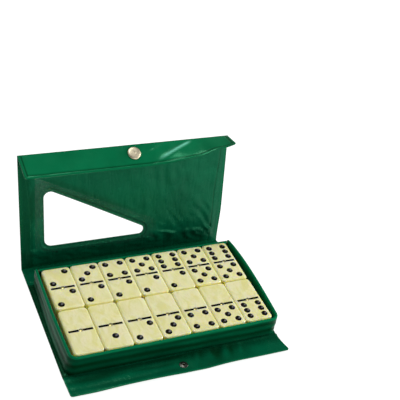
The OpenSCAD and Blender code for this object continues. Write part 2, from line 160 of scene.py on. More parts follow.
def noise_of(tree, place, size, detail=2.0, distortion=0.0, stretch=(1, 1, 1)):
    """Noise whose features are about size millimetres wide, drawn longer along an axis by stretch."""
    scaled = add_node(tree, "ShaderNodeMapping", {
        "Vector": place, "Scale": [1 / s for s in stretch]})
    found = add_node(tree, "ShaderNodeTexNoise", {
        "Vector": scaled.outputs["Vector"], "Scale": 1 / (size * MM),
        "Detail": detail, "Distortion": distortion})
    return found.outputs["Fac"]


def between(tree, value, low, high, out_low=0.0, out_high=1.0):
    """Maps low..high to out_low..out_high, and holds the ends."""
    mapped = add_node(tree, "ShaderNodeMapRange", {
        "Value": value, "From Min": low, "From Max": high, "To Min": out_low, "To Max": out_high})
    return mapped.outputs["Result"]


def mixed(tree, factor, first, second):
    """A colour between two others. Each is a linear colour or a socket."""
    mix = add_node(tree, "ShaderNodeMix", {0: factor, 6: first, 7: second}, data_type="RGBA")
    return mix.outputs[2]


def bumped(tree, height, depth, under=None):
    """A bump of depth millimetres, laid over another one if under is given."""
    inputs = {"Height": height, "Distance": depth * MM}
    if under is not None:
        inputs["Normal"] = under
    return add_node(tree, "ShaderNodeBump", inputs).outputs["Normal"]


def mark_of(tree, name):
    """What a sheet's point attribute says, as a socket."""
    return add_node(tree, "ShaderNodeAttribute", attribute_name=name).outputs["Fac"]


def product(tree, result, *factors):
    for factor in factors:
        result = add_node(tree, "ShaderNodeMath", {0: result, 1: factor},
                          operation="MULTIPLY").outputs[0]
    return result


# %% [markdown]
# ## Plasticised PVC sheet
# The case is soft PVC, calendered between steel rolls. The rolls leave a glossy face with a
# faint orange peel, and handling leaves long shallow creases. The index of PVC is about 1.53. The
# pigment is deep, so what is reflected looks green too: a green specular tint gives that. Weld
# lines are pressed flat by a hot tool, so they have another tone, and a point attribute on each
# sheet says where they are. On the tray's wrap that attribute marks no weld: there it holds a
# painted highlight, a lighter band along the top of the rim. A second attribute, "groove", holds
# painted shade: in grooves beside welds, in the valleys of waves and ripples, and where a wall
# shades a sheet. A third one holds a painted highlight, pale green, along the lid flap's sharpest
# wrinkle.

# %% PVC sheet
vinyl_crease_depth = 0.5


def pvc_sheet(name, deep, bright, pressed_and_rim_highlight, roughness, shine, crease_size, stretch):
    material, tree, place = new_material(name)
    clouds = between(tree, noise_of(tree, place, 38, 3), 0.35, 0.65)
    colour = mixed(tree, clouds, linear(deep), linear(bright))
    # Tones for the marks: pressed welds (on the wrap a painted rim highlight), painted shade, and a painted
    # highlight.
    for mark, low, share, tone in (("weld", 0.2, 0.8, pressed_and_rim_highlight), ("groove", 0, 0.75, "#022308"),
                                   ("painted_highlight", 0, 0.9, "#7cd8ba")):
        covered = between(tree, mark_of(tree, mark), low, 1, 0, share)
        colour = mixed(tree, covered, colour, linear(tone))
    creases = noise_of(tree, place, crease_size, 2, 0.6, stretch)
    peel = noise_of(tree, place, 1.6, 1)
    normal = bumped(tree, peel, 0.012, bumped(tree, creases, vinyl_crease_depth))
    gloss = between(tree, noise_of(tree, place, 9, 2), 0.3, 0.7, roughness - 0.05, roughness + 0.07)
    close_material(tree, Base_Color=colour, Roughness=gloss, IOR=1.53, Normal=normal,
                   Specular_IOR_Level=shine, Specular_Tint=linear("#3fae7c"))
    return material


skin_pvc = pvc_sheet("glossy_pvc_skin", "#06623c", "#0a6e45", "#0a653f", 0.2, 0.6, 26,
                     (1, 1, 1))
lining_pvc = pvc_sheet("glossy_pvc_lining", "#004c32", "#00583a", "#025c3b", 0.28, 0.5, 14,
                       (0.6, 1, 2.2))
# On the wrap the third colour is no weld tone but a painted highlight for the top of the rim.
wrap_pvc = pvc_sheet("glossy_pvc_tray_wrap", "#00442b", "#005435", "#08744a", 0.33, 0.04, 22,
                     (4, 4, 0.25))
print("vinyls:", skin_pvc.name, lining_pvc.name, wrap_pvc.name)

# %% [markdown]
# ## Grey board
# The boards are sealed in their pockets, and a strip of the same board stands under the tray's
# wrap. Recycled board is matt and speckled with fibres.

# %% Grey board
def grey_board(name):
    material, tree, place = new_material(name)
    specks = between(tree, noise_of(tree, place, 1.4, 4), 0.4, 0.65)
    colour = mixed(tree, specks, linear("#a3937a"), linear("#7f725e"))
    fibres = noise_of(tree, place, 0.9, 3, 0.4, (3, 1, 1))
    close_material(tree, Base_Color=colour, Roughness=0.9, IOR=1.45,
                   Normal=bumped(tree, fibres, 0.05))
    return material


board = grey_board("grey_board")
print("board:", board.name)

# %% [markdown]
# ## Clear film
# The window is soft clear PVC. It is nearly invisible over the opening, and where it is welded
# to the lining it lies on the green as a dull, slightly milky band with a few bright blisters.
# Alpha lets light and shadow through it, and the attribute that marks the weld thickens it on the band.

# %% Clear film
def clear_film(name):
    material, tree, place = new_material(name)
    blisters = noise_of(tree, place, 5, 2, 0.5)
    parts = add_node(tree, "ShaderNodeSeparateXYZ", {"Vector": place}).outputs
    upper = between(tree, parts["Z"], 60 * MM, 88 * MM, 0.004, 0.01)
    corner = between(tree, parts["X"], -66 * MM, -80 * MM, 1.0, 3.0)
    lower = between(tree, parts["Z"], 22 * MM, 45 * MM)
    patchy = between(tree, blisters, 0.35, 0.65, 0.4, 1.0)
    band = product(tree, upper, corner, lower, patchy, mark_of(tree, "weld"))
    cover = add_node(tree, "ShaderNodeMath", {0: band, 1: 0.008}, operation="ADD")
    close_material(tree, Base_Color=linear("#b9d8cd"), Roughness=0.12, IOR=1.53,
                   Alpha=cover.outputs[0], Normal=bumped(tree, blisters, 0.25))
    return material


film = clear_film("clear_pvc_film")
print("film:", film.name)

# %% [markdown]
# ## Snap metal and pins
# Press studs are stamped from steel or brass and nickel plated. Barrel plating leaves a soft,
# slightly warm mirror with fine scuffs. The eyelet has gone dark. The pins that hold the tiles'
# centres are brass.

# %% Metals
def plated(name, colour, scuffed, roughness):
    material, tree, place = new_material(name)
    scuffs = between(tree, noise_of(tree, place, 1.2, 4, 1.0), 0.45, 0.7)
    tone = mixed(tree, scuffs, linear(colour), linear(scuffed))
    gloss = between(tree, noise_of(tree, place, 2.5, 2), 0.3, 0.7, roughness, roughness + 0.15)
    close_material(tree, Base_Color=tone, Metallic=1.0, Roughness=gloss,
                   Normal=bumped(tree, scuffs, 0.01))
    return material


nickel = plated("nickel_plated_steel", "#cdc6aa", "#c8b8a2", 0.42)
dark_nickel = plated("tarnished_nickel", "#5c5f59", "#332f2a", 0.28)
brass = plated("pale_brass", "#d6ca86", "#a89a5a", 0.25)
print("metals:", nickel.name, dark_nickel.name, brass.name)

# %% [markdown]
# ## Marbled resin and pip paint
# The tiles are cast from two creams that are not stirred to one: a pale one and a yellower one
# that drifts through it in streaks. Casting resin has an index near 1.55, and the polish is high.
# The pips and the groove are filled with black paint, which stays wet-looking.

# %% Resin and paint
def marbled_resin(name):
    material, tree, place = new_material(name)
    drift = between(tree, noise_of(tree, place, 16, 3, 2.2, (0.7, 1.4, 1)), 0.38, 0.64)
    streaks = between(tree, noise_of(tree, place, 6, 3, 3.0, (0.6, 1.6, 1)), 0.52, 0.68)
    pale = mixed(tree, drift, linear("#efeabf"), linear("#e5e1a0"))
    faces = mixed(tree, between(tree, streaks, 0, 1, 0, 0.4), pale, linear("#e0da8e"))
    # Painted light: below the top face the sides turn a bright yellow, standing in for light that the resin
    # lets through into the gaps between tiles.
    height = add_node(tree, "ShaderNodeSeparateXYZ", {"Vector": place}).outputs["Z"]
    colour = mixed(tree, between(tree, height, 20.9 * MM, 19.2 * MM), faces, linear("#fdf4a4"))
    close_material(tree, Base_Color=colour, Roughness=0.24, IOR=1.55, Subsurface_Weight=0.75,
                   Subsurface_Radius=(1.0, 0.85, 0.3), Subsurface_Scale=5 * MM,
                   Normal=bumped(tree, noise_of(tree, place, 11, 1), 0.08))
    return material


def pip_paint(name):
    material, tree, place = new_material(name)
    pooled = between(tree, noise_of(tree, place, 1.5, 2), 0.35, 0.65)
    colour = mixed(tree, pooled, linear("#060403"), linear("#110c09"))
    close_material(tree, Base_Color=colour, Roughness=0.22, IOR=1.5, Specular_IOR_Level=0.25,
                   Normal=bumped(tree, pooled, 0.02))
    return material


resin = marbled_resin("marbled_cream_resin")
paint = pip_paint("black_pip_paint")
print("tile finishes:", resin.name, paint.name)

# %% [markdown]
# ## The studio
# The floor is a plain white sweep that glows a little, so that it stays white. One large soft box
# hangs above and one stands on the right. A low strip in front lights the raised lid, a weak box
# behind gives the rims an edge, and the room itself adds a little grey light from all round.

# %% Floor and lights
def softbox(name, place, aim, width, height, power):
    light = bpy.data.lights.new(name, "AREA")
    light.shape = "RECTANGLE"
    light.size = width
    light.size_y = height
    light.energy = power
    box = add_object(name, light)
    box.location = place
    look_along(box, Vector(aim) - Vector(place))


def white_sweep(name, size):
    bm = bmesh.new()
    bmesh.ops.create_grid(bm, x_segments=1, y_segments=1, size=size / 2)
    mesh = bpy.data.meshes.new(name)
    bm.to_mesh(mesh)
    bm.free()
    floor = add_object(name, mesh)
    material, tree, place = new_material("white_paper")
    tooth = noise_of(tree, place, 3, 2)
    close_material(tree, Base_Color=linear("#8c8c8c"), Roughness=0.9,
                   Normal=bumped(tree, tooth, 0.02),
                   Emission_Color=linear("#ffffff"), Emission_Strength=0.9)
    mesh.materials.append(material)


white_sweep("floor", 16.0)
softbox("top_light", (-0.1, 0.42, 1.3), (0, 0, 0), 0.7, 0.6, 10.5)
softbox("right_light", (1.2, -0.2, 0.6), (0, 0.05, 0.06), 0.6, 0.6, 13)
softbox("low_light", (0.5, -1.0, 0.15), (0.05, 0.05, 0.08), 0.7, 0.2, 4)
softbox("back_light", (-0.9, 1.1, 0.6), (0, 0, 0.06), 0.7, 0.5, 1.8)
world = bpy.data.worlds.new("studio")
world.use_nodes = True
bpy.context.scene.world = world
room = world.node_tree.nodes["Background"].inputs
room["Color"].default_value = (1, 1, 1, 1)
room["Strength"].default_value = 0.08
print("floor and lights are set")

# %% [markdown]
# ## Where the panels lie
# Each panel has its own frame: X along the fold, Y away from it, and Z out of one face. The folds
# come from the joints, and the lid's lean from the line between its two folds. Pieces are drawn
# flat in millimetres, and one matrix puts them in place.

# %% Panel frames
folds = {joint["name"]: Vector(joint["pos_m"]) / MM for joint in frame["joints"]
         if joint["type"] == "hinge"}


def box_mm(node):
    """A node's lowest and highest corners in millimetres."""
    low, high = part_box(node)
    return low / MM, high / MM


def panel_frame(origin, away):
    """X stays X, Y is the direction away from the fold, and Z follows from them."""
    away = away.normalized()
    out = Vector((1, 0, 0)).cross(away)
    turned = Matrix((Vector((1, 0, 0)), away, out)).transposed().to_4x4()
    return Matrix.Translation(origin) @ turned


case_w = (box_mm("base_skin")[1] - box_mm("base_skin")[0]).x
fold_z = folds["spine_fold"].z
panel_t = 2 * fold_z
vinyl_t = 0.4
lid_l = (folds["lid_flap_fold"] - folds["lid_fold"]).length
base_l = (folds["spine_fold"] - folds["front_flap_fold"]).length
spine_l = (folds["lid_fold"] - folds["spine_fold"]).length

on_base = panel_frame(folds["front_flap_fold"], Vector((0, 1, 0)))
on_spine = panel_frame(folds["spine_fold"], Vector((0, 1, 0)))
on_lid = panel_frame(folds["lid_fold"], folds["lid_flap_fold"] - folds["lid_fold"])
on_lid_top = on_lid @ Matrix.Translation((0, lid_l, 0))
print("case", round(case_w, 1), "lid", round(lid_l, 1), "spine", round(spine_l, 1))

# %% [markdown]
# ## Tools for sheets
# A sheet starts as a flat grid whose cells are closer near its edges, because that is where the
# shape changes. Holes and round corners are cut by straight cuts, one for each short piece of
# the outline: what lies inside all of them is the hole. Then each point gets its height, and the
# sheet its thickness. finish_piece puts the mesh in place and gives it to its body.

# %% Sheet tools
def soft_step(x, start, end):
    """0 up to start, 1 from end on, and smooth between."""
    t = min(max((x - start) / (end - start), 0), 1)
    return t * t * (3 - 2 * t)


def ripple(x, y, wide, long, seed):
    """Smooth noise from -1 to 1, wide by long millimetres."""
    return noise.noise(Vector((x / wide, y / long, seed)))


def swell(x, centre, width):
    """A single smooth swell, 1 at its centre."""
    return math.exp(-((x - centre) / width) ** 2)


def line_at(x, centre, width):
    """1 on a line at centre, and 0 from width away."""
    return soft_step(width - abs(x - centre), 0, width)


def nowhere(at):
    return 0.0


def heading(turn):
    """The level direction at an angle from X."""
    return Vector((math.cos(turn), math.sin(turn), 0))


def of_kind(geom, kind):
    return [item for item in geom if isinstance(item, kind)]


def extruded(bm, edges):
    """Extrudes edges in place. Returns the new points, the new faces and the far edges."""
    made = bmesh.ops.extrude_edge_only(bm, edges=edges)["geom"]
    verts = of_kind(made, bmesh.types.BMVert)
    far = [edge for edge in of_kind(made, bmesh.types.BMEdge)
           if all(v in verts for v in edge.verts)]
    return verts, of_kind(made, bmesh.types.BMFace), far


def trim(bm, at, out):
    """Drops what lies past the plane through at that faces out."""
    bmesh.ops.bisect_plane(bm, geom=[*bm.verts, *bm.edges, *bm.faces], dist=1e-4, plane_co=at,
                           plane_no=out, clear_outer=True)


def flat_sheet(width, start, end, cell, crowding=0.55):
    """A grid centred on X, from start to end in Y. Crowding brings its cells closer at the edges."""
    bm = bmesh.new()
    length = end - start
    bmesh.ops.create_grid(bm, x_segments=round(width / cell), y_segments=round(length / cell),
                          size=0.5)
    for vert in bm.verts:
        for axis in (0, 1):
            share = 2 * vert.co[axis]
            vert.co[axis] = (share + crowding * math.sin(math.pi * share) / math.pi) / 2
    bmesh.ops.transform(bm, verts=bm.verts, matrix=Matrix.Translation((0, (start + end) / 2, 0))
                        @ Matrix.Diagonal((width, length, 1, 1)))
    return bm


def depth_in(point, cuts):
    """How far a point lies outside the convex outline that the cuts make: below 0 is inside."""
    return max((point.x - at.x) * out.x + (point.y - at.y) * out.y for at, out in cuts)


def cut_outline(bm, cuts, remove):
    """Cuts a convex outline into a flat mesh, and removes what lies inside it if asked."""
    inside = bm.faces[:]
    for at, out in cuts:
        around = {item for face in inside for item in (*face.verts, *face.edges)}
        made = bmesh.ops.bisect_plane(bm, geom=inside + list(around), dist=1e-4, plane_co=at,
                                      plane_no=out)
        new = of_kind(made["geom"], bmesh.types.BMFace)
        near = {face for face in (*inside, *new) if face.is_valid}
        inside = [face for face in near
                  if (face.calc_center_median() - at).dot(out) < 0]
    if remove:
        bmesh.ops.delete(bm, geom=inside, context="FACES")


def trim_corner(bm, centre, radius, quarter, steps=5):
    """Rounds a corner off: each cut drops what lies outside its tangent."""
    for step in range(steps + 1):
        out = heading(quarter + math.radians(90) * step / steps)
        trim(bm, centre + out * radius, out)


def round_cuts(centre, radius, sides=20):
    """Cuts for a round hole."""
    ways = [heading(math.tau * k / sides) for k in range(sides)]
    return [(centre + radius * way, way) for way in ways]


def finish_piece(bm, name, materials, body, matrix=Matrix(), replaces=(), sharp=35):
    """Puts a mesh in place, shades it, and hands it to its body. Returns the object."""
    bmesh.ops.transform(bm, verts=bm.verts, matrix=Matrix.Scale(MM, 4) @ matrix)
    mesh = bpy.data.meshes.new(name)
    bm.to_mesh(mesh)
    bm.free()
    for material in materials:
        mesh.materials.append(material)
    for face in mesh.polygons:
        face.use_smooth = True
    mesh.set_sharp_from_angle(angle=math.radians(sharp))
    piece = add_object(name, mesh)
    if body:
        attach(piece, body)
    if replaces:
        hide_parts(*replaces)
    return piece


print("sheet tools are ready")

# %% [markdown]
# ## The window
# The window is a right triangle with round corners. Its outline is a list of short tangent cuts
# that turn round three centres. The same list gives the distance of any point from the
# window, which the film and the weld round it need.

# %% Window outline
window_left = 21.2
window_back = 19.8
window_long = 106.6
window_high = 57.2
window_radii = [4.5, 5.7, 7.0]

window_slope = math.atan2(window_high, window_long)
window_x = -case_w / 2 + window_left
tip_radius, top_radius, square_radius = window_radii
window_centres = [
    Vector((window_x + window_long - tip_radius / math.tan(window_slope / 2),
            window_back + tip_radius, 0)),
    Vector((window_x + top_radius, window_back + window_high
            - top_radius * math.tan(math.radians(45) + window_slope / 2), 0)),
    Vector((window_x + square_radius, window_back + square_radius, 0))]
window_turns = [math.radians(-90), math.radians(90) - window_slope, math.radians(180),
                math.radians(270)]


def window_cuts(grow, steps=7):
    """Tangent cuts round the window, grown outwards by grow."""
    cuts = []
    for corner in range(3):
        first, last = window_turns[corner], window_turns[corner + 1]
        for step in range(steps + 1):
            out = heading(first + (last - first) * step / steps)
            cuts.append((window_centres[corner] + out * (window_radii[corner] + grow), out))
    return cuts


window_edge = window_cuts(0)
print("window cuts:", len(window_edge))

# %% [markdown]
# ## Welded panels
# Base, spine and lid are made alike: two sheets, welded flat along the edges, with a board between
# them. The weld leaves a thin flange with a pressed line in it, and inside the line each sheet
# climbs over the board's edge. How a sheet creases, where painted shade darkens it and how the
# weld has drawn it in differ from panel to panel, so those are functions which each panel
# passes in.

# %% Welded panel sheets
weld_w = 2.2
climb_w = 1.6
lid_climb_w = 7.5
window_weld = 2.4
window_rings = (4.4, 3.4, 2.4, 1.4, 0.6, 0)
pressed_w = 0.9
pressed_depth = 0.12


sheet_kinds = {"outer": (skin_pvc, "vinyl", "skin"),
               "inner": (lining_pvc, "vinyl_lining", "lining")}


def finish_sheet(bm, panel, side, body, matrix):
    """Finishes the outer or the inner sheet of a panel in its own vinyl."""
    material, slot, layer = sheet_kinds[side]
    piece = finish_piece(bm, f"{panel}_{side}_sheet", [material], body, matrix,
                         [f"{panel}_{layer}"])
    print(piece.name, len(piece.data.polygons), "faces")
    return piece


def panel_sheet(panel, side, length, matrix, sideways, creases=nowhere, cell=1.5,
                side_climb=climb_w, painted_shade=nowhere):
    """One sheet of a panel. Z points out of its inner side."""
    face = 1 if side == "inner" else -1
    windowed = panel == "lid"
    bm = flat_sheet(case_w, 0, length, cell)
    if windowed:
        for grow in window_rings:
            cut_outline(bm, window_cuts(grow), remove=grow == 0)
    weld = bm.verts.layers.float.new("weld")
    groove = bm.verts.layers.float.new("groove")
    raise_by = panel_t / 2 - vinyl_t
    for vert in bm.verts:
        at = vert.co.copy()
        reach = side_climb
        if side_climb > climb_w:
            reach *= 1 - 0.45 * soft_step(at.y, 45, 100)
        side_rim = case_w / 2 - abs(at.x)
        end_rim = min(at.y, length - at.y)
        if windowed:
            end_rim = min(end_rim, depth_in(at, window_edge) + weld_w - window_weld)
        climbed = soft_step(side_rim, weld_w, weld_w + reach)
        climbed *= soft_step(end_rim, weld_w, weld_w + climb_w)
        rim = min(side_rim, end_rim)
        line = line_at(rim, weld_w * 0.6, pressed_w)
        # Painted shade: what the panel's function gives.
        vert[groove] = painted_shade(at)
        if side_climb > climb_w:
            side_line = line_at(side_rim, weld_w + reach, pressed_w)
            line += 2 * side_line
            # A painted shade line in the pressed line, on the right side only.
            vert[groove] += 0.8 * side_line * soft_step(at.x, -5, 5)
        height = vinyl_t + raise_by * climbed - pressed_depth * line
        height += creases(at) * soft_step(rim, weld_w + 1, weld_w + 9)
        vert[weld] = 1 - soft_step(rim, weld_w, weld_w + climb_w)
        vert.co.z = face * height
        vert.co.x += sideways(at)
    if face < 0:
        bmesh.ops.reverse_faces(bm, faces=bm.faces[:])
    bmesh.ops.solidify(bm, geom=bm.faces[:], thickness=vinyl_t)
    finish_sheet(bm, panel, side, panel, matrix)


def lid_lining_creases(at):
    """Upright creases under the flap, dents, slanting creases low on the right, and low swoops."""
    right = soft_step(at.x, -30, 15)
    upright = 1 - 2.4 * abs(ripple(at.x + 0.12 * at.y, at.y, 10, 70, 3.1))
    upright *= soft_step(at.y, 35, 80) * swell(at.x, 18, 32)
    dents = ripple(at.x + 0.3 * at.y, at.y, 7, 9, 5.5)
    slanting = 1 - 2.4 * abs(ripple(at.x + 0.75 * at.y, at.y - 0.5 * at.x, 8, 30, 7.7))
    slanting *= soft_step(at.y, 55, 30) * soft_step(at.x, 10, 45)
    low = 1 - 2.2 * abs(ripple(at.x + 1.3 * at.y, at.y - 0.2 * at.x, 13, 9, 1.9))
    low *= soft_step(at.y, 26, 12)
    calm = soft_step(depth_in(at, window_edge), 7, 15)
    return 0.5 * (calm * (right * (1.2 * upright + 0.6 * dents + 0.8 * slanting)) + 2.0 * low
                  * soft_step(depth_in(at, window_edge), 2, 6))


def lid_skin_creases(at):
    """Long shallow swells, as on a sheet that is a little too large for its board."""
    return 0.3 * (0.5 + 0.5 * ripple(at.x, at.y, 45, 24, 5.2))


def spine_creases(at):
    return 0.2 * (0.5 + 0.5 * ripple(at.x, at.y, 26, 9, 2.4))


def base_painted_shadow(at):
    """Painted shadow: the strip of the base beside the tray's left wall is dark, as the wall shades it."""
    return soft_step(-at.x, 88, 92)


def lid_painted_shade_and_band(at):
    """Painted shade: the left strip is darker. The band round the window's upper part, under the film, is
    darker too.
    """
    band = 0.55 * soft_step(depth_in(at, window_edge), 14, 10) * soft_step(at.y, 40, 55)
    return 0.6 * soft_step(-at.x, 84, 90) + band


def base_draw_in(at):
    """The base is drawn in by a couple of millimetres at its front right corner."""
    return -2.0 * soft_step(at.x, 60, 97) * soft_step(at.y, 26, 0)


def lid_spread(at):
    """The lid is wider at its top left corner, and is drawn in at its lower right one."""
    spread = -2.4 * soft_step(-at.x, 30, 97) * at.y / lid_l
    return spread - 2.0 * soft_step(at.x, 60, 97) * soft_step(at.y, 40, 0)


def spine_draw_in(at):
    """The spine narrows towards the lid, which is drawn in there."""
    return lid_spread(Vector((at.x, 0, 0))) * at.y / spine_l


panel_sheet("lid", "outer", lid_l, on_lid, lid_spread, lid_skin_creases)
panel_sheet("lid", "inner", lid_l, on_lid, lid_spread, lid_lining_creases,
            side_climb=lid_climb_w, painted_shade=lid_painted_shade_and_band)
panel_sheet("spine", "outer", spine_l, on_spine, spine_draw_in, cell=1.8)
panel_sheet("spine", "inner", spine_l, on_spine, spine_draw_in, spine_creases)
panel_sheet("base", "outer", base_l, on_base, base_draw_in, cell=2.2)
panel_sheet("base", "inner", base_l, on_base, base_draw_in, cell=1.6, painted_shade=base_painted_shadow)

# %% [markdown]
# ## Stiff boards
# A board slides into its pocket with some play all round, so it is a little smaller than the
# raised field of the sheets. The lid's board has a window of its own, larger than the sheets'.

# %% Boards
board_t = panel_t - 2 * vinyl_t
board_play = 0.3


def stiff_board(panel, length, matrix, sideways, side_climb=climb_w):
    margin = weld_w + climb_w + board_play
    side_margin = weld_w + side_climb + board_play
    bm = flat_sheet(case_w - 2 * side_margin, margin, length - margin, 6, 0)
    if panel == "lid":
        cut_outline(bm, window_cuts(window_weld + climb_w + board_play), remove=True)
    for vert in bm.verts:
        vert.co += Vector((sideways(vert.co), 0, board_t / 2))
    bmesh.ops.solidify(bm, geom=bm.faces[:], thickness=board_t)
    return finish_piece(bm, f"{panel}_stiff_board", [board], panel, matrix,
                        [f"{panel}_board"])


for board_piece in (stiff_board("base", base_l, on_base, base_draw_in),
                    stiff_board("spine", spine_l, on_spine, spine_draw_in),
                    stiff_board("lid", lid_l, on_lid, lid_spread, lid_climb_w)):
    print(board_piece.name, len(board_piece.data.polygons), "faces")

# %% [markdown]
# ## The window's film
# A piece of clear film is welded to the lining. It is cut with four straight snips, so its corners
# are sharp: close to the window on the left, and further off along the slope. It lies flat on the
# band, and shrinks into faint waves and blisters where the heat caught it.

# %% Film
film_t = 0.2
film_lift = 0.06
film_left = -84.7
film_peak = 88.5
film_foot = 12.8
film_right = 30.0
film_slope = math.radians(25.9)


def window_film():
    bm = flat_sheet(film_right - film_left, film_foot, film_peak, 1.6, 0.2)
    bmesh.ops.translate(bm, verts=bm.verts, vec=((film_right + film_left) / 2, 0, 0))
    trim(bm, (film_left, film_peak, 0), (math.sin(film_slope), math.cos(film_slope), 0))
    weld = bm.verts.layers.float.new("weld")
    for vert in bm.verts:
        past_edge = depth_in(vert.co, window_edge)
        blister = max(0, ripple(vert.co.x, vert.co.y, 5, 5, 9.3) - 0.25)
        vert[weld] = soft_step(past_edge, -0.5, 0.8)
        vert.co.z = panel_t / 2 + film_t + film_lift + 0.7 * blister * vert[weld]
    bmesh.ops.solidify(bm, geom=bm.faces[:], thickness=film_t)
    return finish_piece(bm, "window_clear_film", [film], "lid", on_lid, ["window_film"])


print("film:", len(window_film().data.polygons), "faces")

# %% [markdown]
# ## Fold lines
# Between two boards the sheets are welded together into a ridge that bends: a living hinge. Each
# is a thin round bead that lies on the fold, and it bends half with one panel and half with
# the next, so no gap opens at any angle.

# %% Fold lines
bead_r = 0.5


def fold_bead(name, origin, body_a, away_a, body_b, away_b, side="inner", spread=nowhere,
              spread_y=0):
    """A bead between two bodies, moved sideways as its panel is at spread_y."""
    bm = bmesh.new()
    along = Matrix.Rotation(math.radians(90), 4, "Y")
    bmesh.ops.create_cone(bm, cap_ends=True, segments=14, radius1=bead_r, radius2=bead_r,
                          depth=case_w - 0.2, matrix=along)
    long_edges = [edge for edge in bm.edges if edge.calc_length() > bead_r * 4]
    bmesh.ops.subdivide_edges(bm, edges=long_edges, cuts=90, use_grid_fill=True)
    for vert in bm.verts:
        thick = 1 + 0.18 * ripple(vert.co.x, 0, 6, 1, origin.y)
        vert.co.y *= thick
        vert.co.z *= thick
        vert.co.x += spread(Vector((vert.co.x, spread_y, 0)))
    bmesh.ops.recalc_face_normals(bm, faces=bm.faces)
    material, slot, _ = sheet_kinds[side]
    piece = finish_piece(bm, name, [material], None, Matrix.Translation(origin))
    start = (origin + away_a * bead_r) * MM
    end = (origin + away_b * bead_r) * MM
    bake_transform(piece, body_a, body_b, start=start, end=end)


to_back = Vector((0, 1, 0))
up_lid = (on_lid.to_3x3() @ to_back).normalized()
flap_fold = math.radians(132)
down_flap = on_lid.to_3x3() @ Vector((0, math.cos(flap_fold), math.sin(flap_fold)))

fold_bead("front_fold", folds["front_flap_fold"], "base", to_back, "front_flap", -to_back,
          spread=base_draw_in)
fold_bead("spine_fold", folds["spine_fold"], "base", -to_back, "spine", to_back)
fold_bead("lid_fold", folds["lid_fold"], "spine", -to_back, "lid", up_lid, spread=lid_spread)
fold_bead("lid_flap_fold", folds["lid_flap_fold"], "lid", -up_lid, "lid_flap", down_flap,
          "outer", lid_spread, lid_l)
print("four folds")

# %% [markdown]
# ## The flaps
# The flaps have no board. They are two sheets back to back, and they keep the bends that they
# were packed with. The lid flap is folded right over on the left and unrolls towards its right
# end. As the flap opens the twist has to come out of it, so the flap is blended between lid and
# flap: the part that was turned less at rest also turns back less. The front flap lies on its
# stud and waves a little, and its right corner flares out.

# %% Lid flap
lid_flap_l = 21.9
fold_gap = 0.45
flap_corner_r = 2.5
hem_w = 2.8
snap_x = 1.5
snap_drop = 9.4
cap_shift = Vector((0.7, -0.8, 0))
cap_rise = 0.8
post_r = 3.2
twist_from = 250.0
long_pull = (25, 16.2, 57, 2.9)
short_pull = (11, 11.5, 35, 1.8)


def flap_turn(x):
    """Share of the fold that the lid flap makes at x: the same smooth step that the blend uses."""
    return soft_step(-x, -twist_from, 0)


def beside_pull(x, away, pull):
    """How far along a pull a point lies, as a share, and how far beside it."""
    start_x, start_away, end_x, end_away = pull
    run = (x - start_x) / (end_x - start_x)
    return run, away - start_away - run * (end_away - start_away)


def flap_wrinkles(x, away):
    """Height of the lid flap's wrinkles: long swells, and two sharp ones that pull at the snap."""
    free = away / lid_flap_l
    swells = 0.6 * ripple(x, away, 17, 30, 4.4) + 0.3 * ripple(x, away, 9, 40, 8.1)
    pulled = 0.0
    for pull, width, depth in ((long_pull, 1.2, 1.2), (short_pull, 1.4, 0.6)):
        run, off = beside_pull(x, away, pull)
        pulled += depth * swell(off, 0, width) * soft_step(run, -0.1, 0.3) * soft_step(run, 1.1, 0.6)
    return free * swells * soft_step(x, 60, 25) + pulled


def flap_blank(length, cell, hole, face, marks):
    """A flat flap with round free corners and a hole. Returns it and its point attributes."""
    bm = flat_sheet(case_w, fold_gap, length, cell)
    for side, quarter in ((1, 0), (-1, math.radians(90))):
        centre = Vector((side * (case_w / 2 - flap_corner_r), length - flap_corner_r, 0))
        trim_corner(bm, centre, flap_corner_r, quarter)
    cut_outline(bm, hole, remove=True)
    layers = [bm.verts.layers.float.new(mark) for mark in marks]
    if face < 0:
        bmesh.ops.reverse_faces(bm, faces=bm.faces[:])
    return bm, layers


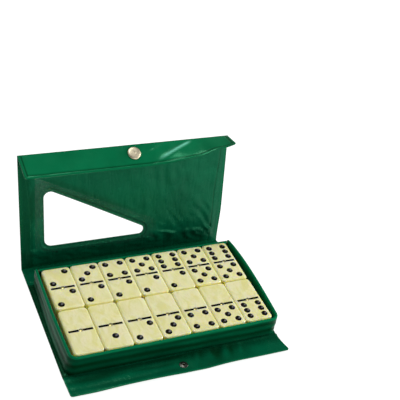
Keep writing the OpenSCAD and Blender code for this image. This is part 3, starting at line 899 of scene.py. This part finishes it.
def lid_flap_sheet(side, face):
    cap_middle = Vector((snap_x, snap_drop, 0)) + cap_shift
    bm, marks = flap_blank(lid_flap_l, 0.9, round_cuts(cap_middle, post_r), face,
                           ("weld", "groove", "painted_highlight"))
    weld, groove, painted_highlight = marks
    for vert in bm.verts:
        rim = min(case_w / 2 - abs(vert.co.x), lid_flap_l - vert.co.y)
        run, off = beside_pull(vert.co.x, vert.co.y, long_pull)
        # Painted highlight: a pale band along the long pull's crest, where the wrinkle catches the light.
        vert[painted_highlight] = swell(off, 0, 1.1) * soft_step(run, -0.1, 0.25) * soft_step(run, 1.1, 0.85)
        vert[weld] = 1 - soft_step(rim, hem_w - 1.2, hem_w - 0.4)
        # Painted shade in the pressed groove beside the hem.
        vert[groove] = line_at(rim, hem_w, 1.0)
        vert.co.z = face * (vinyl_t + 0.1 * vert[weld] - 0.25 * vert[groove])
    bmesh.ops.solidify(bm, geom=bm.faces[:], thickness=vinyl_t)
    for vert in bm.verts:
        x, away, up = vert.co
        from_cap = math.hypot(x - cap_middle.x, away - cap_middle.y)
        rim = min(case_w / 2 - abs(x), lid_flap_l - away)
        up *= 0.4 + 0.6 * soft_step(rim, 0, 1.0)
        up -= flap_wrinkles(x, away) * soft_step(from_cap, 7, 13)
        up -= cap_rise * soft_step(from_cap, 17, 5)
        free = away / lid_flap_l
        lean = math.radians(6) * swell(x, 75, 9) + math.radians(1.5) * swell(x, 45, 14)
        turn = flap_fold * flap_turn(x) - lean
        pull = lid_spread(Vector((x, lid_l, 0))) * (1 - free) - 2.0 * free * soft_step(x, 80, 97)
        vert.co = Vector((x + pull,
                          away * math.cos(turn) - up * math.sin(turn),
                          away * math.sin(turn) + up * math.cos(turn)))
    piece = finish_sheet(bm, "lid_flap", side, None, on_lid_top)
    start = (folds["lid_flap_fold"] + Vector((twist_from, 0, 0))) * MM
    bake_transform(piece, "lid", "lid_flap", start=start, end=folds["lid_flap_fold"] * MM)


lid_flap_sheet("outer", -1)
lid_flap_sheet("inner", 1)

# %% Front flap
front_flap_l = 20.3
front_tilt = math.radians(3.99)
stud_v = 12.2
eyelet_hole_r = 1.3
on_front = panel_frame(folds["front_flap_fold"],
                       Vector((0, -math.cos(front_tilt), math.sin(front_tilt))))


def front_flap_ripples(at):
    """Upright ripples on the right, and level ones on the left."""
    across = ripple(at.x + 0.2 * at.y, at.y, 5, 30, 2.2) * soft_step(at.x, 5, 15)
    across *= soft_step(at.x, 70, 50) * swell(at.y, 8, 7)
    along = 0.7 * ripple(at.x, at.y, 45, 4.5, 6.1) * soft_step(at.x, 8, -12)
    return across + along


def front_flap_shape(at):
    """Moves a point of the flat front flap to where it lies. Z points down here."""
    from_stud = math.hypot(at.x - snap_x, at.y - stud_v)
    free = at.y / front_flap_l
    waves = 0.5 * swell(at.x, 47, 17) - 0.5 * swell(at.x, 20, 9) + 0.5 * swell(at.x, -45, 30)
    waves -= 0.5 * swell(at.x, -75, 14)
    ledge = 0.9 * swell(at.y, 0.6, 1.5) * soft_step(at.x, -10, 60)
    rise = free * waves + front_flap_ripples(at)
    rise = min(rise, 0.5 + 0.3 * (rise - 0.5))
    lift = soft_step(from_stud, 4, 12) * rise + ledge
    lift -= 0.3 * swell(from_stud, 5, 1.6)
    flare = soft_step(at.x, 70, 97) * (2.7 * free * free - 2.0)
    draw_in = 0.6 * soft_step(-at.x, 70, 97) * free
    longer = 0.6 * swell(at.x, 5, 25) * soft_step(free, 0.7, 1)
    return Vector((at.x + flare + draw_in, at.y + longer, at.z - lift))


def front_flap_sheet(side, face):
    hole = round_cuts(Vector((snap_x, stud_v, 0)), eyelet_hole_r, 14)
    bm, (weld, groove) = flap_blank(front_flap_l, 1.0, hole, face, ("weld", "groove"))
    for vert in bm.verts:
        rim = min(case_w / 2 - abs(vert.co.x), front_flap_l - vert.co.y)
        vert[weld] = 1 - soft_step(rim, 1.0, 1.8)
        # Painted shade: darker from the middle rightwards and towards the fold, where the tray wall shades
        # the flap, lighter again near the right end, and darker where the ripples dip. None on the weld.
        painted_shade = 0.1 + 0.25 * soft_step(vert.co.x, -30, 20) + 0.4 * soft_step(vert.co.y, 15, 0)
        painted_shade -= 0.35 * soft_step(vert.co.x, 45, 70) + front_flap_ripples(vert.co)
        vert[groove] = painted_shade * (1 - vert[weld])
        vert.co.z = face * (vinyl_t + 0.15 * line_at(rim, 0.9, 0.7))
    bmesh.ops.solidify(bm, geom=bm.faces[:], thickness=vinyl_t)
    for vert in bm.verts:
        vert.co = front_flap_shape(vert.co)
    finish_sheet(bm, "front_flap", side, "front_flap", on_front)


front_flap_sheet("outer", 1)
front_flap_sheet("inner", -1)

# %% [markdown]
# ## The tray's wrap
# A strip of vinyl is wrapped over the card wall: up the outside, over a round rim and down the
# inside. It is drawn as the section of the strip, which is then run along the left side, turned
# round the front corner, along the front, round the other corner and back. The card is never
# quite straight under the wrap, so the outside bulges in long level waves. Painted shade darkens
# the valleys of the waves, and a lighter tone along the outer top of the rim is a painted highlight.

# %% Tray wrap
tray_low, tray_high = box_mm("tray_wall_cover")
tray_wall = 2.4
tray_corner_r = 7.0
notch = 1.0
wall_bow = 2.8
left_flare = 2.4
left_bow = 0.9
card_play = 0.05


def wall_section(bm, x_inner, x_outer, y):
    """The closed section of the wrapped strip, standing across X at y. Returns its edges."""
    middle = (x_inner + x_outer) / 2
    out = 1 if x_outer > x_inner else -1
    # The outer side is marked here. bulge_wrap narrows the mark to a painted highlight along the top of the
    # rim.
    outside = bm.verts.layers.float.new("weld")
    top = tray_high.z - tray_wall / 2
    rise = top - tray_low.z
    wide, narrow = tray_wall / 2, tray_wall / 2 - vinyl_t

    def leg(x, steps):
        return [(out * x, tray_low.z + rise * k / 3, 0) for k in steps]

    def arch(radius, mark):
        turns = [math.radians(180) * k / 10 for k in range(11)]
        return [(out * radius * math.cos(a), top + radius * math.sin(a), mark) for a in turns]

    path = [(out * wide, tray_low.z + rise * k / 22, 1) for k in range(22)]
    path += arch(wide, 1) + leg(-wide, (2, 1, 0)) + leg(-narrow, (0, 1, 2))
    path += arch(narrow, 0)[::-1] + leg(narrow, (2, 1, 0))
    verts = []
    for x, z, mark in path:
        vert = bm.verts.new((middle + x, y, z))
        vert[outside] = mark
        verts.append(vert)
    return [bm.edges.new((verts[k - 1], verts[k])) for k in range(len(verts))]


def run_on(bm, edges, way, steps):
    """Runs a section straight on by the vector way, in steps. Returns the section's new edges."""
    for _ in range(steps):
        verts, _, edges = extruded(bm, edges)
        bmesh.ops.translate(bm, verts=verts, vec=way / steps)
    return edges


def run_round(bm, edges, centre, angle=math.radians(90), steps=12):
    """Turns a section round an upright line at centre. Returns the section's new edges."""
    made = bmesh.ops.spin(bm, geom=edges, cent=centre, axis=(0, 0, 1), angle=angle, steps=steps,
                          use_merge=False)
    return of_kind(made["geom_last"], bmesh.types.BMEdge)


def close_ends(bm, *ends):
    for edges in ends:
        bmesh.ops.contextual_create(bm, geom=edges)


def bulge_wrap(bm, depth):
    """Pushes the outside of a wrap out in level waves, paints shade into their valleys, and narrows the
    painted rim highlight to a band along the top.
    """
    groove = bm.verts.layers.float.new("groove")
    outside = bm.verts.layers.float["weld"]
    bm.normal_update()
    moves = []
    for vert in bm.verts:
        height = (vert.co.z - tray_low.z) / (tray_high.z - tray_low.z)
        run = vert.co.x + vert.co.y
        level = 0.5 + 0.5 * math.sin(14 * height + 1.5 * ripple(run, 0, 45, 1, 3.3) + run / 90)
        level += 0.25 * ripple(run, vert.co.z, 30, 2.5, 6.8)
        push = depth * level * soft_step(height, 0, 0.12) * soft_step(height, 0.92, 0.8)
        push *= 1 - 0.35 * soft_step(vert.co.y, tray_low.y + 8, tray_low.y + 2)
        moves.append((vert, vert.normal * push * vert[outside]))
        # Painted shade in the valleys of the level waves, on the outside, fading out near the rim.
        vert[groove] = 0.9 * (1 - level) * vert[outside] * soft_step(height, 0.95, 0.8)
    for vert, move in moves:
        vert.co += move
        # The mark becomes a painted highlight: a lighter band along the top of the rim, deeper along the
        # middle of the front.
        rim_highlight_depth = 2.3 + 4 * soft_step(vert.co.x, -50, 0) * soft_step(vert.co.x, 80, 40)
        vert[outside] *= soft_step(vert.co.z, tray_high.z - rim_highlight_depth, tray_high.z - 1.0)


def bow_out(bm):
    """Bows the right wall out past its corners, and flares the left wall's foot."""
    for vert in bm.verts:
        share = min(max((tray_high.y - vert.co.y) / (tray_high.y - tray_low.y), 0), 1)
        height = (vert.co.z - tray_low.z) / (tray_high.z - tray_low.z)
        bow = wall_bow * math.sin(math.pi * share ** 0.72)
        flare = left_flare * soft_step(share, 0, 0.75) * (1 - height) ** 1.3
        flare += left_bow * math.sin(math.pi * share)
        here = vert.co.x
        vert.co.x += bow * soft_step(here, tray_high.x - tray_corner_r, tray_high.x - 3)
        vert.co.x -= flare * soft_step(here, tray_low.x + 14, tray_low.x + 3)


def run_tray_wall(bm, start):
    """Runs a section down the left side, along the front and up the right side."""
    straight = tray_high.y - tray_low.y - tray_corner_r
    across = tray_high.x - tray_low.x - 2 * tray_corner_r
    turn_y = tray_low.y + tray_corner_r
    edges = run_on(bm, start, Vector((0, -straight, 0)), 60)
    edges = run_round(bm, edges, (tray_low.x + tray_corner_r, turn_y, 0))
    edges = run_on(bm, edges, Vector((across, 0, 0)), 110)
    edges = run_round(bm, edges, (tray_high.x - tray_corner_r, turn_y, 0))
    last = run_on(bm, edges, Vector((0, straight, 0)), 60)
    close_ends(bm, start, last)
    bmesh.ops.remove_doubles(bm, verts=bm.verts, dist=1e-4)
    bmesh.ops.recalc_face_normals(bm, faces=bm.faces)


def side_and_front_wrap():
    bm = bmesh.new()
    run_tray_wall(bm, wall_section(bm, tray_low.x + tray_wall, tray_low.x, tray_high.y))
    bulge_wrap(bm, 0.45)
    bow_out(bm)
    return finish_piece(bm, "tray_side_wrap", [wrap_pvc], "base",
                        replaces=["tray_wall_cover"])


def side_and_front_card():
    """The card strip that the wrap is folded over."""
    bm = bmesh.new()
    near = tray_low.x + vinyl_t + card_play
    far = tray_low.x + tray_wall - vinyl_t - card_play
    top = tray_high.z - tray_wall / 2
    corners = ((near, tray_low.z), (far, tray_low.z), (far, top), (near, top))
    verts = [bm.verts.new((x, tray_high.y - card_play, z)) for x, z in corners]
    run_tray_wall(bm, [bm.edges.new((verts[k - 1], verts[k])) for k in range(4)])
    bow_out(bm)
    return finish_piece(bm, "tray_side_card", [board], "base",
                        replaces=["tray_wall_core"])


def back_wrap():
    bm = bmesh.new()
    start = wall_section(bm, tray_wall / 2, -tray_wall / 2, 0)
    stand = (Matrix.Translation((tray_low.x + tray_wall + notch, tray_high.y - tray_wall / 2, 0))
             @ Matrix.Rotation(math.radians(-90), 4, "Z"))
    bmesh.ops.transform(bm, verts=bm.verts, matrix=stand)
    length = tray_high.x - tray_low.x - 2 * (tray_wall + notch)
    last = run_on(bm, start, Vector((length, 0, 0)), 110)
    close_ends(bm, start, last)
    bmesh.ops.recalc_face_normals(bm, faces=bm.faces)
    bulge_wrap(bm, 0.2)
    return finish_piece(bm, "tray_back_wrap", [wrap_pvc], "base",
                        replaces=["tray_back_cover"])


for wall_piece in (side_and_front_wrap(), side_and_front_card(), back_wrap()):
    print(wall_piece.name, len(wall_piece.data.polygons), "faces")

# %% [markdown]
# ## The snap
# Snap parts are round, so each is half a section that is spun about its axis. The cap is a low
# dome with a rolled edge and a dimple, and it carries a hollow post. The stud on the front flap is
# held by an eyelet, whose tube is rolled over from inside.

# %% Snap parts
def spun(name, section, matrix, material, body, node, steps=48):
    """Spins a section, given as radius and height, about Z."""
    bm = bmesh.new()
    verts = [bm.verts.new((radius, 0, height)) for radius, height in section]
    edges = [bm.edges.new(pair) for pair in zip(verts, verts[1:])]
    bmesh.ops.spin(bm, geom=verts + edges, cent=(0, 0, 0), axis=(0, 0, 1), angle=math.tau,
                   steps=steps, use_merge=True)
    bmesh.ops.remove_doubles(bm, verts=bm.verts, dist=1e-4)
    bmesh.ops.recalc_face_normals(bm, faces=bm.faces)
    return finish_piece(bm, name, [material], body, matrix, [node], sharp=50)


cap_r = 6.0
cap_h = 1.7
metal_t = 0.3


def cap_section():
    """Round the cap: the dimple, the dome, the rolled edge, and back inside down the post."""
    outer = [(0, cap_h - 0.2), (0.7, cap_h - 0.16), (1.3, cap_h - 0.03), (1.7, cap_h)]
    outer += [(r, cap_h - 0.75 * (r / cap_r) ** 4) for r in (2.6, 3.5, 4.3, 5.0, 5.5)]
    outer += [(5.85, cap_h - 0.95), (6.0, 0.55), (6.0, 0.22), (5.9, 0.04), (5.7, 0.0)]
    inner = [(5.5, 0.1), (4.9, 0.6), (post_r, 1.1), (post_r, -2 * vinyl_t)]
    inner += [(post_r - metal_t, -2 * vinyl_t), (post_r - metal_t, 0.8), (0, 0.8)]
    return outer + inner


def stud_section():
    head = [(0, 1.3), (1.6, 1.3), (2.05, 1.2), (2.2, 1.0), (2.1, 0.85), (1.7, 0.7), (1.7, 0.2)]
    flange = [(1.9, 0.05), (3.8, 0.0), (4.0, -0.1), (4.0, -0.25), (3.8, -0.3)]
    return head + flange + [(1.0, -0.3), (1.0, 0.9), (0, 0.9)]


def eyelet_section():
    roll = [(1.0, -1.2), (1.0, 0.1), (1.15, 0.3), (1.45, 0.36), (1.75, 0.25)]
    flange = [(2.1, 0.08), (3.3, 0.1), (3.6, 0.02), (3.7, -0.12), (3.6, -0.3), (1.3, -0.3)]
    return roll + flange + [(1.3, -1.2), (1.0, -1.2)]


outward = Matrix.Rotation(math.radians(180), 4, "X")
on_lid_flap = on_lid_top @ Matrix.Rotation(flap_fold, 4, "X")
cap_place = (on_lid_flap @ Matrix.Translation(cap_shift)
             @ Matrix.Translation((snap_x, snap_drop, -vinyl_t - cap_rise)) @ outward)
stud_place = on_front @ Matrix.Translation((snap_x, stud_v, vinyl_t))
eyelet_place = on_front @ Matrix.Translation((snap_x, stud_v, -vinyl_t)) @ outward
spun("cap_dome", cap_section(), cap_place, nickel, "lid_flap", "snap_cap")
spun("stud_button", stud_section(), stud_place, nickel, "front_flap", "snap_stud")
spun("stud_eyelet", eyelet_section(), eyelet_place, dark_nickel, "front_flap", "snap_eyelet", 32)
print("three snap parts")

# %% [markdown]
# ## The tiles
# A tile is a block with round corners and softened edges. Its top face is drawn again as an
# outline with holes in it, and filled, and each hole is then drawn down: a pip into a bowl, the
# groove into a trough, and the pin's seat into a ring. Those get the paint, and all else is resin,
# which is the first material. A brass pin with a low dome sits in the middle.

# %% Tile tools
tile_l = 50.0
tile_w = 25.0
tile_h = 9.2
tile_corner_r = 3.3
tile_edge_r = 1.7
pip_r = 2.85
pip_depth = 0.8
pip_step = Vector((6.8, 6.7, 0))
groove_half = 10.3
groove_w = 2.2
groove_depth = 0.5
pin_r = 1.3
seat_r = 1.65
PAINT, PIN = 1, 2


def pip_places(count):
    """Pip places in a half, in steps of pip_step."""
    if count == 6:
        return [(x, y) for x in (-1, 1) for y in (-1, 0, 1)]
    places = [(0, 0)] if count % 2 else []
    if count > 1:
        places += [(-1, -1), (1, 1)]
    if count > 3:
        places += [(-1, 1), (1, -1)]
    return places


def ring_at(bm, centre, radius, segments):
    """A ring of edges in the top face."""
    made = bmesh.ops.create_circle(bm, cap_ends=False, segments=segments, radius=radius,
                                   matrix=Matrix.Translation(centre))
    return list({edge for vert in made["verts"] for edge in vert.link_edges})


def draw_down(bm, edges, centre, rings, index):
    """Draws a hole's edges down through rings of (scale, depth), and closes the last one."""
    size = 1.0
    low = 0.0
    for scale, depth in rings:
        verts, faces, edges = extruded(bm, edges)
        ratio = scale / size
        bmesh.ops.scale(bm, verts=verts, vec=(ratio, ratio, 1),
                        space=Matrix.Translation(-centre))
        bmesh.ops.translate(bm, verts=verts, vec=(0, 0, low - depth))
        for face in faces:
            face.material_index = index
        size, low = scale, depth
    for face in bmesh.ops.contextual_create(bm, geom=edges)["faces"]:
        face.material_index = index


def tile_block(bm):
    """A block with round corners and soft edges, standing on z = 0, without its top face."""
    bmesh.ops.create_cube(bm, size=1, matrix=Matrix.Translation((0, 0, tile_h / 2))
                          @ Matrix.Diagonal((tile_w, tile_l, tile_h, 1)))
    upright = [e for e in bm.edges if abs(e.verts[0].co.z - e.verts[1].co.z) > tile_h / 2]
    bmesh.ops.bevel(bm, geom=upright, offset=tile_corner_r, affect="EDGES", segments=7,
                    profile=0.5, material=-1)
    level = [e for e in bm.edges if abs(e.verts[0].co.z - e.verts[1].co.z) < 1e-5]
    bmesh.ops.bevel(bm, geom=level, offset=tile_edge_r, affect="EDGES", segments=4,
                    profile=0.5, material=-1)
    top = max(bm.faces, key=lambda face: (face.calc_center_median().z, face.calc_area()))
    rim = list(top.edges)
    bmesh.ops.delete(bm, geom=[top], context="FACES_ONLY")
    return rim


def pin_head(bm, place):
    """A low brass dome that lies in the tile's face."""
    dome = [(pin_r, 0.42), (pin_r, 0.16), (pin_r * 0.82, 0.05), (pin_r * 0.5, 0.0)]
    edges = ring_at(bm, place + Vector((0, 0, -dome[0][1])), pin_r, 20)
    made = [(radius / pin_r, -(dome[0][1] - depth)) for radius, depth in dome[1:]]
    before = set(bm.faces)
    draw_down(bm, edges, place, made, PIN)
    bmesh.ops.recalc_face_normals(bm, faces=[f for f in bm.faces if f not in before])


def domino(name, back_pips, front_pips, low):
    """One tile. low is the lowest corner of its CAD node."""
    bm = bmesh.new()
    rim = tile_block(bm)
    top = Vector((0, 0, tile_h))
    holes = []
    for half, count in ((1, back_pips), (-1, front_pips)):
        for x, y in pip_places(count):
            centre = top + Vector((x * pip_step.x, half * tile_l / 4 + y * pip_step.y, 0))
            holes.append((ring_at(bm, centre, pip_r, 20), centre, "pip"))
    for side in (-1, 1):
        length = groove_half - seat_r - 0.1
        centre = top + Vector((side * (groove_half - length / 2), 0, 0))
        made = bmesh.ops.create_grid(bm, x_segments=1, y_segments=1, size=0.5,
                                     matrix=Matrix.Translation(centre)
                                     @ Matrix.Diagonal((length, groove_w, 1, 1)))
        edges = list({edge for vert in made["verts"] for edge in vert.link_edges})
        faces = list({face for vert in made["verts"] for face in vert.link_faces})
        bmesh.ops.delete(bm, geom=faces, context="FACES_ONLY")
        holes.append((edges, centre, "groove"))
    holes.append((ring_at(bm, top, seat_r, 20), top, "seat"))
    bmesh.ops.triangle_fill(bm, use_beauty=True, use_dissolve=False, normal=(0, 0, 1),
                            edges=rim + [edge for edges, _, _ in holes for edge in edges])
    scales = [1 - 0.12 * k - 0.02 * k * k for k in (1, 2, 3, 4)]
    bowl = [(scale, pip_depth * (1 - scale ** 2)) for scale in scales]
    bowl += [(0.14, pip_depth), (0.05, pip_depth - 0.15)]
    shapes = {"pip": [(0.98, 0.1)] + bowl, "groove": [(0.98, groove_depth * 0.8),
              (0.92, groove_depth)], "seat": [(0.97, 0.3), (0.9, groove_depth)]}
    for edges, centre, kind in holes:
        draw_down(bm, edges, centre, shapes[kind], PAINT)
    bmesh.ops.recalc_face_normals(bm, faces=bm.faces)
    pin_head(bm, top)
    place = Matrix.Translation(low + Vector((tile_w / 2, tile_l / 2, 0)))
    piece = finish_piece(bm, name.replace("tile", "domino"), [resin, paint, brass], name,
                         place, [name], sharp=40)
    piece.modifiers.new("flat_faces_stay_flat", "WEIGHTED_NORMAL").keep_sharp = True
    return piece


# %% Tiles
tiles = sorted(name for name in frame["nodes"] if name.startswith("tile_"))
for name in tiles:
    back_count, front_count = (int(word) for word in name.split("_")[1:])
    last_tile = domino(name, back_count, front_count, box_mm(name)[0])
print("tiles:", len(tiles), "faces in the last:", len(last_tile.data.polygons))

# %% [markdown]
# ## What the frame still shows
# The card under the wrap, the tray's floor and the socket with its spring keep their CAD shape.
# They only get their material.

# %% Materials for the frame's own pieces
def dress(node, material):
    frame["nodes"][node].data.materials.clear()
    frame["nodes"][node].data.materials.append(material)


for node in ("tray_back_core", "tray_floor"):
    dress(node, board)
for node in ("snap_socket", "snap_spring"):
    dress(node, nickel)
print("frame pieces are dressed")
